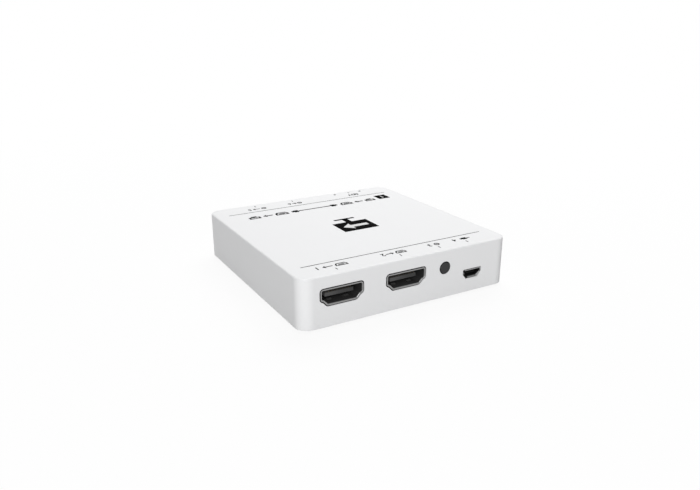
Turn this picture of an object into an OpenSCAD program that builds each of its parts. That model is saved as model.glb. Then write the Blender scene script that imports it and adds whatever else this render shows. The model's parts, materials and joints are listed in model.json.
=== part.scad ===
/* [Casing] */
// Width of the casing, left to right
casing_w = 80.4; // [79:0.1:94]
// Depth of the casing, port side to cable side
casing_d = 81.4; // [80:0.1:100]
// Height of the casing without its feet
casing_h = 16.8; // [16.6:0.1:22]
// Thickness of the housing's walls
wall_t = 2; // [1.8:0.1:2.2]
// Thickness of the top
top_t = 2; // [1.6:0.1:2.1]
// Radius of the upright corners
corner_r = 4.4; // [3.6:0.1:5.6]
// Radius of the top edge
edge_r = 0.5; // [0.3:0.1:0.8]
// Clearance round a connector in its cut-out
port_gap = 0.35; // [0.25:0.05:0.45]

/* [Base plate] */
// Thickness of the base plate
base_t = 1.8; // [1.6:0.1:2]
// Width of the ledge that the base plate seats on
ledge_w = 1; // [0.8:0.1:1.1]
// Clearance round the base plate
seam_gap = 0.1; // [0.05:0.05:0.2]
// Number of vent slots
vent_count = 9; // [5:1:10]
// Width of a vent slot
vent_w = 1.6; // [1:0.1:2]
// Length of a vent slot
vent_l = 18; // [10:1:22]
// Spacing of the vent slots
vent_pitch = 3.4; // [2.8:0.1:3.6]

/* [Housing screws] */
// Distance between the case screws, front to rear
screw_pitch = 49; // [46:0.5:51]
// Diameter of a screw head
head_d = 4.2; // [3.8:0.1:4.4]
// Height of a screw head
head_h = 1.4; // [1:0.1:1.6]
// How far the head is let into the base
head_sink = 1.9; // [1.7:0.1:2.1]
// Diameter of a screw shank
shank_d = 2.4; // [2:0.1:2.6]
// Length of a screw shank
shank_l = 8; // [6:0.5:9]
// Diameter of a screw boss
boss_d = 5.4; // [5:0.1:5.6]

/* [Feet] */
// Diameter of a rubber foot
foot_d = 8; // [6:0.5:9]
// How far a foot stands out below the casing
foot_proud = 0.8; // [0.6:0.1:1.4]
// How far a foot is let into the base
foot_sunk = 0.6; // [0.4:0.1:0.8]
// Distance of a foot's centre from the side of the casing
foot_inset = 8.2; // [7:0.1:9]

/* [Video sockets] */
// Place of the first video socket, from the line a third of the width left of the middle
video_out_x = 0.9; // [0.4:0.1:2.8]
// Place of the second video socket, from the middle
video_in_x = -2.35; // [-4:0.05:-2]
// Width of a video socket's opening
video_w = 14; // [13.8:0.1:14.4]
// Height of a video socket's opening
video_h = 4.55; // [4.4:0.05:4.8]
// Width of the opening at its floor
video_foot_w = 9.9; // [9.4:0.1:10.2]
// Length of a video socket's shell
video_len = 11.2; // [10.5:0.1:12]
// Depth that a plug goes in
video_plug_depth = 8.6; // [8:0.1:9]
// Height of the opening's floor over the board
video_lift = 2.25; // [2:0.05:2.4]
// Thickness of the shell's sheet
video_sheet = 0.45; // [0.35:0.05:0.5]
// Width of the tongue
tongue_w = 10; // [9.8:0.1:10.4]
// Thickness of the tongue
tongue_t = 1.2; // [1:0.05:1.4]
// How far the tongue stands back from the mouth
tongue_recess = 2; // [1:0.1:2.4]

/* [Push button] */
// Place of the push button, from the power socket
button_x = -11.7; // [-13.3:0.1:-10.8]
// Height of the button's axis over the board
button_lift = 5.3; // [5:0.05:5.6]
// Diameter of the button's head
button_d = 3.9; // [3.6:0.1:4]
// Clearance round the button in the housing
button_gap = 0.3; // [0.2:0.05:0.4]
// How far the button stands out of the casing
button_proud = 0.3; // [0.2:0.05:0.6]
// How far the button goes in
button_travel = 0.25; // [0.2:0.01:0.3]
// Width and height of the key switch behind it
switch_size = 6; // [5.8:0.1:6.2]
// Depth of the key switch
switch_depth = 3.5; // [3.4:0.1:4]

/* [Power socket] */
// Place of the power socket, from the line a third of the width right of the middle
power_x = -2; // [-3.3:0.1:-0.8]
// Width of the power socket's opening
power_w = 6.9; // [6.8:0.1:7.2]
// Height of the power socket's opening
power_h = 1.85; // [1.8:0.05:2]
// Width of the opening at its floor
power_foot_w = 4.2; // [4:0.1:4.8]
// Length of the power socket
power_len = 5.3; // [5.2:0.1:6]
// Length of the flared lips
power_lip_l = 0.7; // [0.5:0.1:0.9]
// How far the upper and lower lips flare
power_flare = 0.6; // [0.5:0.05:0.7]

/* [Network jack] */
// Place of the network jack, from the right side of the casing
network_x = -18.9; // [-20.2:0.1:-18.7]
// Width of the network jack over its shield
network_w = 16.1; // [15.9:0.1:16.4]
// Height of the network jack
network_h = 12.4; // [12.2:0.1:12.6]
// Length of the network jack
network_l = 21.4; // [20.5:0.1:22]
// How far the jack hangs below the top of the board
network_drop = 3.15; // [3.1:0.05:3.3]
// Width of the jack's opening
network_open_w = 11.7; // [11.6:0.1:12]
// Height of the jack's opening
network_open_h = 6.8; // [6.6:0.1:7]
// Depth of the jack's opening
network_open_depth = 13; // [12.5:0.1:14]

/* [Infrared jacks] */
// Place of the infrared output jack, from the line a quarter of the width left of the middle
ir_out_x = -1.7; // [-3.9:0.1:0.1]
// Place of the infrared input jack, from the middle
ir_in_x = -5.4; // [-7:0.1:-4]
// Bore of an infrared jack
ir_bore_d = 3.6; // [3.55:0.05:3.7]
// Diameter of its metal sleeve
ir_sleeve_d = 5; // [4.8:0.1:5.2]
// Length of its metal sleeve
ir_sleeve_l = 3.8; // [3.4:0.1:4.4]
// Width of its body
ir_body_w = 6.2; // [6:0.1:6.6]
// Height of its body
ir_body_h = 5.8; // [5.6:0.1:6]
// Length of its body behind the wall
ir_body_l = 11.5; // [11:0.1:12.5]

/* [Circuit board] */
// Thickness of the board
board_t = 1.6; // [1.2:0.1:1.6]
// Space between the base plate and the board
board_gap = 1.85; // [1.8:0.05:2]
// Clearance round the board
board_edge_gap = 0.5; // [0.3:0.05:0.6]
// Diameter of a board post
post_d = 5; // [4.4:0.1:5.4]

/* [Board parts] */
// Width of the extender chip
extender_w = 14; // [12:0.5:15]
// Width of the splitter chip
splitter_w = 10; // [8:0.5:11]
// Width of the control chip's body
control_w = 7; // [6.8:0.1:7.4]
// Thickness of the large chips
chip_t = 1; // [0.8:0.1:1.2]
// Number of fins on the heatsink
fin_count = 7; // [5:1:8]
// Thickness of a fin
fin_t = 0.9; // [0.7:0.1:1.1]
// Height of the fins
fin_h = 4.5; // [3:0.1:5]
// Diameter of the power capacitor
capacitor_d = 6.3; // [5:0.1:6.5]
// Height of the power capacitor
capacitor_h = 7.2; // [5:0.1:7.4]

/* [Hidden] */
$fn = 48;

// How far a cut runs past what it cuts
overrun = 0.5;
// Clearance of a piece pressed into another
fit_gap = 0.05;

// Heights and sides of the casing, the feet standing at zero
case_z = foot_proud;
base_top = case_z + base_t;
roof_z = case_z + casing_h - top_t;
board_under = base_top + board_gap;
board_top = board_under + board_t;
front_y = -casing_d / 2;
rear_y = casing_d / 2;
inner_w = casing_w - 2 * wall_t;
inner_d = casing_d - 2 * wall_t;
inner_r = corner_r - wall_t;
skin_t = wall_t - ledge_w;

// Places of the connectors across the casing
video_out_at = video_out_x - casing_w / 3;
power_at = power_x + casing_w / 3;
button_at = button_x + power_at;
network_at = network_x + casing_w / 2;
ir_out_at = ir_out_x - casing_w / 4;

// Screw wells of the base plate
head_gap = 0.3;
well_wall = 0.8;
well_d = head_d + 2 * (head_gap + well_wall);
well_floor = 1.5;
well_top = case_z + head_sink + well_floor;
well_gap = 0.2;
screw_x = inner_w / 2 - well_gap - well_d / 2;
screw_y = screw_pitch / 2;
boss_under = well_top + seam_gap;
rib_t = 1.2;
rib_h = 4;

foot_edge_r = 0.3;

// Board, its screws and its posts
board_w = inner_w - 2 * board_edge_gap;
board_d = inner_d - 2 * board_edge_gap;
board_r = inner_r - board_edge_gap;
board_front_in = wall_t + board_edge_gap;
notch_gap = 0.35;
board_screw_d = 2;
board_screw_l = 4.4;
board_head_d = 3.8;
board_head_h = 1.3;
pilot_floor = 0.5;
screw_post_inset = 7.7;
screw_posts = [[(video_out_at + video_in_x) / 2, front_y + screw_post_inset],
    [(ir_in_x + ir_body_w / 2 + network_at - network_w / 2) / 2, rear_y - screw_post_inset]];
plain_post_inset = 7;
plain_posts = [[-casing_w / 2 + plain_post_inset, 0], [casing_w / 2 - plain_post_inset, -post_d]];

// Video socket
video_round = 0.45;
video_side_h = 2.85;
video_shoulder_w = 12.3;
video_shoulder_h = 0.4;
video_back_t = 2;
video_rear = video_len + video_back_t;
tongue_z = video_h / 2;
contact_pitch = 1;
contact_count = 19;
contact_w = 0.3;
contact_t = 0.15;
contact_tip = 0.4;
tail_l = 0.9;
leaf_w = 1.7;
leaf_l = 4.8;
leaf_sag = 0.3;
leaf_x = 3;
window_gap = 0.4;
window_start = 2.6;
lead_in = 0.15;
leg_w = 1.4;
leg_out = 0.9;
leg_gap = 0.15;
video_leg_places = [board_front_in + leg_w, video_plug_depth + leg_w];

// Push button and key switch, measured from the outer face of the casing
cap_edge_r = 0.25;
flange_w = 0.8;
flange_t = 0.8;
flange_gap = 0.2;
cap_back = wall_t + flange_gap + flange_t;
plunger_d = 3.4;
plunger_out = 2;
plunger_flange_w = 0.5;
plunger_flange_t = 0.8;
plunger_nub_d = 1.6;
plunger_slack = 0.06;
guide_gap = 0.08;
cover_t = 0.3;
switch_front = cap_back + plunger_out;
switch_body = switch_front + cover_t;
chamber_d = 4.7;
chamber_l = 2.3;
dome_t = 0.1;
dome_h = 0.6;
dome_gap = button_travel + fit_gap;
dome_d = 4.4;
switch_leg_w = 1;
terminal_w = 0.7;
terminal_t = 0.3;
terminal_x = 2;
terminal_z = 1.8;

// Power socket
power_sheet = 0.3;
power_side_h = 0.9;
power_side_flare = 0.3;
power_gap = 0.2;
power_round = 0.2;
power_plug_depth = 4.2;
power_tongue_w = 3.6;
power_tongue_t = 0.55;
power_tongue_recess = 1.1;
power_pitch = 0.65;
power_count = 5;
power_contact_w = 0.25;
power_contact_t = 0.12;
power_leg_w = 1.2;
power_leg_y = board_front_in + power_leg_w / 2;

// Network jack, measured from its own underside and mouth
network_z = board_top - network_drop;
network_sheet = 0.3;
network_floor = 1.5;
latch_w = 6.1;
latch_h = 1.2;
latch_tip_w = 3.4;
latch_tip_h = 1.5;
lamp_w = 2.8;
lamp_h = 2;
lamp_x = 5.3;
lamp_z = 10.2;
lamp_recess = 0.1;
lamp_chip_t = 0.8;
lamp_chip_l = 2;
wire_pitch = 1.02;
wire_count = 8;
wire_w = 0.35;
wire_t = 0.25;
wire_low = 0.75;
wire_rise = 2.85;
wire_front = 2.4;
wire_free = 10.8;
wire_back = 18.2;
wire_exit = 5.4;
comb_gap = 0.08;
wing_w = 1.5;
wing_out = 1.3;
wing_places = [7, 14];

// Infrared jack, measured from the outer face of the casing
ir_axis = ir_body_h / 2;
ir_hole_gap = 0.15;
ir_chamber_d = 4.3;
ir_wall = 0.9;
spring_t = 0.2;
spring_h = 1.6;
spring_sag = 1.1;
spring_first = 5.6;
spring_run = 4.4;
spring_slot = 0.1;
pin_w = 0.8;

// Packages on the board
pad_w = 0.25;
pad_l = 0.5;
pad_t = 0.1;
pad_pitch = 0.8;
pad_edge = 1.2;
lead_t = 0.15;
lead_w = 0.35;
lead_foot = 0.5;
lead_out = 1;
chip_stand = 0.1;
dimple_d = 0.8;
dimple_h = 0.12;
lead_pitch = 1.27;
end_cap_l = 0.3;
end_cap_t = 0.05;
row_pitch = 2.6;

// Chip parts and small chips
cap_chip_l = 1.6;
cap_chip_w = 0.8;
cap_chip_h = 0.8;
res_chip_l = 1;
res_chip_w = 0.5;
res_chip_h = 0.35;
guard_w = 2.5;
guard_d = 1.2;
guard_h = 0.6;
guard_pitch = 4;
guard_side = 8.9;
guard_back = 2;
guard_y = front_y + video_rear + guard_back;
small_w = 5;
small_d = 4;
small_h = 1.5;
small_leads = 4;

// Splitter chip between the two video sockets
splitter_back = 8.4;
splitter_x = (video_out_at + video_in_x) / 2;
splitter_y = front_y + video_rear + splitter_back;

// Power parts behind the power socket
fuse_l = 4.5;
fuse_w = 3.2;
fuse_h = 1;
fuse_back = 5.2;
fuse_y = front_y + power_len + fuse_back;
inductor_w = 6;
inductor_h = 3;
inductor_r = 1.2;
inductor_side = 7.8;
inductor_x = screw_x - inductor_side;
regulator_side = 6.8;
regulator_back = 11.4;
regulator_x = inductor_x - regulator_side;
regulator_y = front_y + power_len + regulator_back;
capacitor_side = 1.5;
capacitor_back = 2.6;
capacitor_x = (power_at + inner_w / 2) / 2 + capacitor_side;
capacitor_y = front_y + power_len + capacitor_back;

// Network transformer ahead of the network jack, and the extender chip ahead of that
transformer_w = 15.1;
transformer_d = 7;
transformer_h = 5.2;
transformer_leads = 10;
transformer_ahead = 11;
transformer_y = rear_y - network_l - transformer_ahead;
pad_sheet_t = 0.5;
sink_base_t = 1.4;
extender_side = 20.425;
extender_ahead = 3;
extender_x = splitter_x + extender_side;
extender_y = transformer_y - transformer_d / 2 - extender_ahead - extender_w / 2;
crystal_l = 5;
crystal_w = 3.2;
crystal_h = 1.2;
crystal_r = 0.6;
crystal_side = 11.2;
crystal_x = extender_x - crystal_side;
crystal_y = extender_y + crystal_l;

// Control and memory chips ahead of the infrared jacks
control_leads = 8;
control_ahead = 20;
control_y = rear_y - wall_t - ir_body_l - control_ahead;
memory_ahead = 12;
memory_y = control_y - memory_ahead;

// Unit vector, and the unit vector to the right of a run
function unit(v) = v / norm(v);
function right_of(v) = [v[1], -v[0]];
function turned(v, w) = [v[0] * cos(w) - v[1] * sin(w), v[0] * sin(w) + v[1] * cos(w)];
// Where two runs meet, the step to the right that keeps both a unit away
function mitre(a, b) = (right_of(a) + right_of(b)) / (1 + a * b);
// Direction of the run that ends at point i of a closed outline
function run_to(p, i) = unit(p[i] - p[(i + len(p) - 1) % len(p)]);
function run_from(p, i) = run_to(p, (i + 1) % len(p));
// Closed outline, anticlockwise, moved outwards by d with its corners kept sharp
function grown(p, d) = [for (i = [0 : len(p) - 1]) p[i] + d * mitre(run_to(p, i), run_from(p, i))];
// Arc of radius r that replaces the corner at point q between runs a and b
function corner_arc(q, a, b, r, steps) = let (
        bend = cross(a, b) > 0 ? 1 : -1,
        turn = bend * acos(a * b),
        centre = q - a * r * tan(abs(turn) / 2) - right_of(a) * r * bend)
    [for (k = [0 : steps]) centre + r * bend * turned(right_of(a), turn * k / steps)];
// Closed outline with every corner rounded to radius r
function rounded(p, r, steps = 4) = [for (i = [0 : len(p) - 1])
    each corner_arc(p[i], run_to(p, i), run_from(p, i), r, steps)];
// Open path with its inner corners eased to radius r
function eased(p, r, steps = 2) = concat([p[0]],
    [for (i = [1 : len(p) - 2]) each corner_arc(p[i], unit(p[i] - p[i - 1]), unit(p[i + 1] - p[i]), r, steps)],
    [p[len(p) - 1]]);
// Outline of a bent strip of thickness t along an open path
function strip(p, t) = let (
        last = len(p) - 1,
        into = [for (i = [0 : last]) unit(i > 0 ? p[i] - p[i - 1] : p[1] - p[0])],
        away = [for (i = [0 : last]) i < last ? into[i + 1] : into[i]],
        step = [for (i = [0 : last]) mitre(into[i], away[i]) * t / 2])
    concat([for (i = [0 : last]) p[i] + step[i]], [for (i = [last : -1 : 0]) p[i] - step[i]]);

// Outline in width and height, drawn inwards from a wall
module inward(depth, start = 0) translate([0, start + depth, 0]) rotate([90, 0, 0])
    linear_extrude(depth) children();
// Outline in depth and height, drawn across by w about the middle
module across(w) rotate([90, 0, 90]) linear_extrude(w, center = true) children();
// Round bar along the depth
module bar(d, from, to) translate([0, to, 0]) rotate([90, 0, 0]) cylinder(d = d, h = to - from);
// Block from one corner to the opposite one
module block(low, high) translate(low) cube(high - low);
module at_port(x, z) translate([x, front_y, z]) children();
module at_rear(x, z) translate([x, rear_y, z]) rotate(180) children();
module on_board(x, y, w = 0) translate([x, y, board_top]) rotate(w) children();
module case_screw_places() for (sx = [-1, 1], sy = [-1, 1]) translate([sx * screw_x, sy * screw_y, 0]) children();
module foot_place(sx, sy) translate([sx * (casing_w / 2 - foot_inset), sy * (casing_d / 2 - foot_inset), 0]) children();

module rounded_rect(w, d, r) {
    square([w - 2 * r, d], center = true);
    square([w, d - 2 * r], center = true);
    for (sx = [-1, 1], sy = [-1, 1]) translate([sx * (w / 2 - r), sy * (d / 2 - r)]) circle(r);
}

module rounded_plate(w, d, h, r) linear_extrude(h) rounded_rect(w, d, r);

// Section of the housing's rim: upright side, rounded top edge
module rim_section() {
    square([corner_r, casing_h - edge_r]);
    square([corner_r - edge_r, casing_h]);
    translate([corner_r - edge_r, casing_h - edge_r]) circle(edge_r);
}

// Solid casing: the rim section turned at the corners and drawn along the sides
module casing_block() {
    straight_w = casing_w - 2 * corner_r;
    straight_d = casing_d - 2 * corner_r;
    translate([-straight_w / 2, -straight_d / 2, 0]) cube([straight_w, straight_d, casing_h]);
    for (sx = [-1, 1], sy = [-1, 1]) translate([sx * straight_w / 2, sy * straight_d / 2])
        rotate_extrude() intersection() {
            rim_section();
            square([corner_r, casing_h]);
        }
    for (w = [0, 180]) rotate(w) {
        translate([straight_w / 2, straight_d / 2, 0]) rotate([90, 0, 0])
            linear_extrude(straight_d) rim_section();
        translate([-straight_w / 2, straight_d / 2, 0]) rotate([90, 0, 90])
            linear_extrude(straight_w) rim_section();
    }
}

// Video socket's opening, its floor at zero
function video_outline() = let (side_z = video_h - video_side_h, shoulder_z = side_z - video_shoulder_h)
    [[-video_foot_w / 2, 0], [video_foot_w / 2, 0], [video_shoulder_w / 2, shoulder_z],
    [video_w / 2, side_z], [video_w / 2, video_h], [-video_w / 2, video_h],
    [-video_w / 2, side_z], [-video_shoulder_w / 2, shoulder_z]];
module video_tube(grow, depth, start = 0) inward(depth, start)
    polygon(rounded(grown(video_outline(), grow), video_round + grow));
module video_legs(grow, out) for (s = [-1, 1], y = video_leg_places)
    translate([s * (video_w + video_sheet) / 2, y, 0]) block(
        [-video_sheet / 2 - grow, -leg_w / 2 - grow, -video_lift - board_t - out],
        [video_sheet / 2 + grow, leg_w / 2 + grow, video_h - video_side_h + leg_w]);

// Power socket's opening, its floor at zero, moved out by gx and gz
function power_outline(gx = 0, gz = 0) = let (side_z = power_h - power_side_h)
    [[-power_foot_w / 2 - gx, -gz], [power_foot_w / 2 + gx, -gz], [power_w / 2 + gx, side_z],
    [power_w / 2 + gx, power_h + gz], [-power_w / 2 - gx, power_h + gz], [-power_w / 2 - gx, side_z]];
module power_legs(grow, out) for (s = [-1, 1]) translate([s * (power_w + power_sheet) / 2, power_leg_y, 0]) block(
    [-power_sheet / 2 - grow, -grow, -power_sheet - board_t - out],
    [power_sheet / 2 + grow, power_leg_w + grow, power_h - power_side_h + power_sheet]);

// Slot from the housing's lower edge up to the round hole of an infrared jack
module ir_slot() {
    r = ir_sleeve_d / 2 + ir_hole_gap;
    block([-r, -overrun, case_z - overrun], [r, wall_t + overrun, board_top + ir_axis]);
}

module top_housing() color("#f4f4f5") difference() {
    union() {
        difference() {
            translate([0, 0, case_z]) casing_block();
            translate([0, 0, case_z - overrun]) rounded_plate(inner_w, inner_d, roof_z - case_z + overrun, inner_r);
            translate([0, 0, case_z - overrun])
                rounded_plate(casing_w - 2 * skin_t, casing_d - 2 * skin_t, base_t + overrun, corner_r - skin_t);
            for (x = [video_out_at, video_in_x]) at_port(x, board_top + video_lift)
                video_tube(video_sheet + port_gap, wall_t + 2 * overrun, -overrun);
            at_port(button_at, board_top + button_lift)
                bar(button_d + 2 * button_gap, -overrun, wall_t + overrun);
            at_port(power_at, board_top + power_sheet) inward(wall_t + 2 * overrun, -overrun)
                polygon(rounded(power_outline(power_side_flare + power_gap, power_flare + power_gap), edge_r));
            for (x = [ir_out_at, ir_in_x]) at_rear(x, 0) {
                translate([0, 0, board_top + ir_axis]) bar(ir_sleeve_d + 2 * ir_hole_gap, -overrun, wall_t + overrun);
                ir_slot();
            }
            at_rear(network_at, 0) block(
                [-network_w / 2 - ir_hole_gap, -overrun, case_z - overrun],
                [network_w / 2 + ir_hole_gap, wall_t + overrun, network_z + network_h + ir_hole_gap]);
        }
        case_screw_places() translate([0, 0, boss_under]) cylinder(d = boss_d, h = roof_z - boss_under + top_t / 2);
        for (sy = [-1, 1]) block([-inner_w / 2 - wall_t / 2, sy * screw_y - rib_t / 2, roof_z - rib_h],
            [-screw_x, sy * screw_y + rib_t / 2, roof_z + top_t / 2]);
        for (sy = [-1, 1]) block([screw_x, sy * screw_y - rib_t / 2, roof_z - rib_h],
            [inner_w / 2 + wall_t / 2, sy * screw_y + rib_t / 2, roof_z + top_t / 2]);
    }
    case_screw_places() translate([0, 0, case_z]) cylinder(d = shank_d + 2 * fit_gap, h = head_sink + shank_l + overrun);
}

module vent_slot() {
    square([vent_w, vent_l - vent_w], center = true);
    for (s = [-1, 1]) translate([0, s * (vent_l - vent_w) / 2]) circle(d = vent_w);
}

module base_plate() color("#eeeeef") difference() {
    union() {
        translate([0, 0, case_z]) rounded_plate(casing_w - 2 * skin_t - 2 * seam_gap,
            casing_d - 2 * skin_t - 2 * seam_gap, base_t, corner_r - skin_t - seam_gap);
        case_screw_places() translate([0, 0, case_z]) cylinder(d = well_d, h = well_top - case_z);
        for (p = concat(screw_posts, plain_posts)) translate([p[0], p[1], case_z])
            cylinder(d = post_d, h = base_t + board_gap);
        // Tabs that close the slots under the rear connectors
        for (x = [ir_out_at, ir_in_x]) at_rear(x, 0) block(
            [-ir_sleeve_d / 2 - ir_hole_gap + seam_gap, 0, case_z],
            [ir_sleeve_d / 2 + ir_hole_gap - seam_gap, wall_t, board_top + ir_axis]);
        at_rear(network_at, 0) block([-network_w / 2 - ir_hole_gap + seam_gap, 0, case_z],
            [network_w / 2 + ir_hole_gap - seam_gap, wall_t, network_z - ir_hole_gap]);
    }
    for (x = [ir_out_at, ir_in_x]) at_rear(x, board_top + ir_axis)
        bar(ir_sleeve_d + 2 * ir_hole_gap, -overrun, wall_t + overrun);
    case_screw_places() {
        translate([0, 0, case_z - overrun]) cylinder(d = head_d + 2 * head_gap, h = head_sink + overrun);
        translate([0, 0, case_z]) cylinder(d = shank_d + 2 * head_gap, h = well_top - case_z + overrun);
    }
    for (sx = [-1, 1], sy = [-1, 1]) foot_place(sx, sy) translate([0, 0, case_z - overrun])
        cylinder(d = foot_d + 2 * seam_gap, h = foot_sunk + overrun);
    for (p = screw_posts) translate([p[0], p[1], case_z + pilot_floor])
        cylinder(d = board_screw_d + 2 * fit_gap, h = base_t + board_gap);
    for (i = [0 : vent_count - 1]) translate([(i - (vent_count - 1) / 2) * vent_pitch, 0, case_z - overrun])
        linear_extrude(base_t + 2 * overrun) vent_slot();
}

// Pan head with a cross recess, its underside at zero and its shank above
module screw(head_w, head_l, d, l) difference() {
    union() {
        translate([0, 0, -head_l]) cylinder(d = head_w, h = head_l);
        cylinder(d = d, h = l);
    }
    cross_l = head_w / 2;
    cross_w = head_w / 8;
    for (w = [0, 90]) rotate(w) translate([-cross_l / 2, -cross_w / 2, -head_l - overrun])
        cube([cross_l, cross_w, head_l / 2 + overrun]);
}

module case_screws() color("#b9bbbf") case_screw_places() translate([0, 0, case_z + head_sink])
    screw(head_d, head_h, shank_d, shank_l);

module foot(sx, sy) color("#3a3a3c") foot_place(sx, sy) rotate_extrude() {
    square([foot_d / 2 - foot_edge_r, foot_proud + foot_sunk]);
    translate([0, foot_edge_r]) square([foot_d / 2, foot_proud + foot_sunk - foot_edge_r]);
    translate([foot_d / 2 - foot_edge_r, foot_edge_r]) circle(foot_edge_r);
}

module circuit_board() color("#1d5c3a") difference() {
    translate([0, 0, board_under]) rounded_plate(board_w, board_d, board_t, board_r);
    case_screw_places() translate([0, 0, board_under - overrun])
        cylinder(d = boss_d + 2 * notch_gap, h = board_t + 2 * overrun);
    for (sy = [-1, 1]) block([-inner_w / 2, sy * screw_y - boss_d / 2 - notch_gap, board_under - overrun],
        [-screw_x, sy * screw_y + boss_d / 2 + notch_gap, board_top + overrun]);
    for (sy = [-1, 1]) block([screw_x, sy * screw_y - boss_d / 2 - notch_gap, board_under - overrun],
        [inner_w / 2, sy * screw_y + boss_d / 2 + notch_gap, board_top + overrun]);
    at_rear(network_at, 0) block([-network_w / 2 - ir_hole_gap, 0, board_under - overrun],
        [network_w / 2 + ir_hole_gap, network_l + ir_hole_gap, board_top + overrun]);
    for (p = screw_posts) translate([p[0], p[1], board_under - overrun])
        cylinder(d = board_screw_d + 2 * head_gap, h = board_t + 2 * overrun);
    for (x = [video_out_at, video_in_x]) at_port(x, board_top + video_lift) video_legs(leg_gap, overrun);
    at_port(power_at, board_top + power_sheet) power_legs(leg_gap, overrun);
    at_port(button_at, board_top + button_lift) switch_legs(leg_gap, overrun);
    at_rear(network_at, network_z) for (s = [-1, 1], y = wing_places) translate([s * (network_w / 2 + wing_out), y, 0])
        block([-network_sheet / 2 - leg_gap, -wing_w / 2 - leg_gap, network_drop - board_t - overrun],
        [network_sheet / 2 + leg_gap, wing_w / 2 + leg_gap, network_drop + overrun]);
    for (x = [ir_out_at, ir_in_x]) at_rear(x, board_top) ir_pins(leg_gap, overrun);
}

module board_screws() color("#c8c9cc") for (p = screw_posts) translate([p[0], p[1], board_top])
    mirror([0, 0, 1]) screw(board_head_d, board_head_h, board_screw_d, board_screw_l);

module video_leaf() across(leaf_w) polygon(strip([
    [window_start + window_gap + leaf_l, video_h + video_sheet / 2],
    [window_start + 2 * window_gap, video_h + video_sheet / 2 - leaf_sag],
    [window_start + window_gap, video_h + video_sheet / 2]], video_sheet));

module video_shell() color("#9a9b9d") {
    difference() {
        union() {
            video_tube(video_sheet, video_len);
            video_legs(0, leg_out);
        }
        video_tube(0, video_len + 2 * overrun, -overrun);
        video_tube(lead_in, lead_in + overrun, -overrun);
        for (s = [-1, 1]) translate([s * leaf_x, 0, 0]) block(
            [-leaf_w / 2 - window_gap, window_start, -video_sheet - overrun],
            [leaf_w / 2 + window_gap, window_start + window_gap + leaf_l - video_sheet, video_h + video_sheet + overrun]);
    }
    for (s = [-1, 1]) translate([s * leaf_x, 0, 0]) {
        video_leaf();
        translate([0, 0, video_h]) mirror([0, 0, 1]) video_leaf();
    }
}

// Path of one contact of the video socket, upper or lower row
function video_contact_path(z) = [[tongue_recess + contact_tip, z], [video_rear + contact_t / 2, z],
    [video_rear + contact_t / 2, contact_t / 2 - video_lift], [video_rear + tail_l, contact_t / 2 - video_lift]];

module video_contacts() color("#c9a55a") for (i = [0 : contact_count - 1]) {
    middle = (contact_count - 1) / 2;
    row = i % 2 == 0 ? 1 : -1;
    translate([(i - middle) * contact_pitch / 2, 0, 0]) across(contact_w)
        polygon(strip(video_contact_path(tongue_z + row * tongue_t / 2), contact_t));
}

module video_insulator() color("#1b1b1d") difference() {
    union() {
        video_tube(-fit_gap, video_len - video_plug_depth, video_plug_depth);
        block([-tongue_w / 2, tongue_recess, tongue_z - tongue_t / 2],
            [tongue_w / 2, video_len, tongue_z + tongue_t / 2]);
        block([-video_w / 2, video_len, -video_lift], [video_w / 2, video_rear, video_h]);
        block([-video_w / 2, board_front_in, -video_lift], [video_w / 2, video_rear, -video_sheet]);
    }
    video_contacts();
}

module power_shell() color("#a9aaac") {
    difference() {
        union() {
            inward(power_len - power_lip_l, power_lip_l)
                polygon(rounded(grown(power_outline(), power_sheet), power_round + power_sheet));
            power_legs(0, leg_out);
        }
        inward(power_len + 2 * overrun, -overrun) polygon(rounded(power_outline(), power_round));
    }
    across(power_w - 2 * power_sheet) polygon(strip([[power_lip_l + power_sheet, power_h + power_sheet / 2],
        [power_lip_l, power_h + power_sheet / 2], [0, power_h + power_flare - power_sheet / 2]], power_sheet));
    across(power_foot_w - 2 * power_round) polygon(strip([[power_lip_l + power_sheet, -power_sheet / 2],
        [power_lip_l, -power_sheet / 2], [0, power_sheet / 2 - power_flare]], power_sheet));
    for (s = [-1, 1]) translate([0, 0, power_h - power_side_h]) linear_extrude(power_side_h - power_round)
        polygon(strip([[s * (power_w + power_sheet) / 2, power_lip_l + power_sheet],
        [s * (power_w + power_sheet) / 2, power_lip_l],
        [s * (power_w / 2 + power_side_flare - power_sheet / 2), 0]], power_sheet));
}

module power_contacts() color("#c9a55a") for (i = [0 : power_count - 1]) {
    z = power_h / 2 - power_tongue_t / 2;
    rear = power_len + power_contact_t / 2;
    translate([(i - (power_count - 1) / 2) * power_pitch, 0, 0]) across(power_contact_w)
        polygon(strip([[power_tongue_recess + contact_tip, z], [rear, z],
        [rear, power_contact_t / 2 - power_sheet], [power_len + tail_l, power_contact_t / 2 - power_sheet]],
        power_contact_t));
}

module power_insulator() color("#17171a") difference() {
    union() {
        inward(power_len - power_plug_depth, power_plug_depth)
            polygon(rounded(grown(power_outline(), -fit_gap), power_round));
        block([-power_tongue_w / 2, power_tongue_recess, power_h / 2 - power_tongue_t / 2],
            [power_tongue_w / 2, power_len, power_h / 2 + power_tongue_t / 2]);
    }
    power_contacts();
}

module button_cap() color("#3b3b3d") translate([0, -button_proud, 0]) rotate([-90, 0, 0]) rotate_extrude() {
    r = button_d / 2;
    head_l = button_proud + cap_back;
    translate([0, cap_edge_r]) square([r, head_l - cap_edge_r]);
    square([r - cap_edge_r, head_l]);
    translate([r - cap_edge_r, cap_edge_r]) circle(cap_edge_r);
    translate([0, head_l - flange_t]) square([r + flange_w, flange_t]);
}

module switch_plunger() color("#2a2a2c") {
    tip = switch_body + chamber_l - dome_h - dome_gap;
    bar(plunger_d, cap_back, switch_body + plunger_slack + plunger_flange_t);
    bar(plunger_d + 2 * plunger_flange_w, switch_body + plunger_slack,
        switch_body + plunger_slack + plunger_flange_t);
    bar(plunger_nub_d, switch_body, tip);
}

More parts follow.
